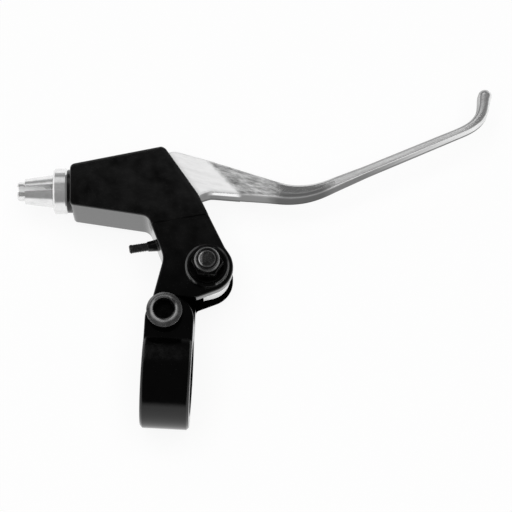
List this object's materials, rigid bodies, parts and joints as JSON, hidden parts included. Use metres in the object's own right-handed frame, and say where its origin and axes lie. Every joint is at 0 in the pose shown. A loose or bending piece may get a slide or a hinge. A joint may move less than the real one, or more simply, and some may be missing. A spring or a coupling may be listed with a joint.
{
  "type": "bicycle brake lever",
  "caption": "Short-pull brake lever for a flat handlebar: hinged alloy blade with a curled tip, cast bracket with a split bar clamp, slotted barrel adjuster and reach screw.",
  "frame": {"origin": "centre of the handlebar clamp's bore, at mid width", "axes": "+X along the handlebar towards the lever's tip, +Y from the bar towards the blade, +Z along the pivot towards its nut"},
  "size_m": [0.14, 0.1076, 0.0334],
  "materials": {
    "body_paint": "gloss black paint on cast aluminium",
    "polished_alloy": "polished, with a finer brushed grain on the blade",
    "bright_alloy": "turned bright",
    "dark_steel": "dark plated, slightly oiled",
    "black_steel": "black oxide",
    "nylon": "moulded nylon"
  },
  "bodies": {
    "bracket": {"lever_body": "body_paint", "pivot_bolt": "dark_steel", "pivot_washer": "dark_steel", "pivot_nut": "dark_steel", "pivot_nut_insert": "nylon", "clamp_bolt": "dark_steel"},
    "lever": {"lever_blade": "polished_alloy", "pivot_bush_front": "nylon", "pivot_bush_rear": "nylon"},
    "adjuster": {"barrel_adjuster": "bright_alloy"},
    "lock_ring": {"adjuster_lock_ring": "bright_alloy"},
    "reach": {"reach_screw": "black_steel"}
  },
  "joints": [
    {"name": "lever_pivot", "type": "hinge", "parent": "bracket", "child": "lever", "pos_m": [0.00995, 0.0313, 0], "axis": [0, 0, -1], "range_deg": [0, 38]},
    {"name": "adjuster_travel", "type": "slide", "parent": "bracket", "child": "adjuster", "axis": [-0.9979, -0.0645, 0], "range_m": [0, 0.006]},
    {"name": "lock_ring_turn", "type": "hinge", "parent": "adjuster", "child": "lock_ring", "pos_m": [-0.03483, 0.05436, 0], "axis": [-0.9979, -0.0645, 0], "continuous": true},
    {"name": "reach_travel", "type": "slide", "parent": "bracket", "child": "reach", "axis": [-0.9781, -0.2079, 0], "range_m": [0, 0.004]}
  ]
}
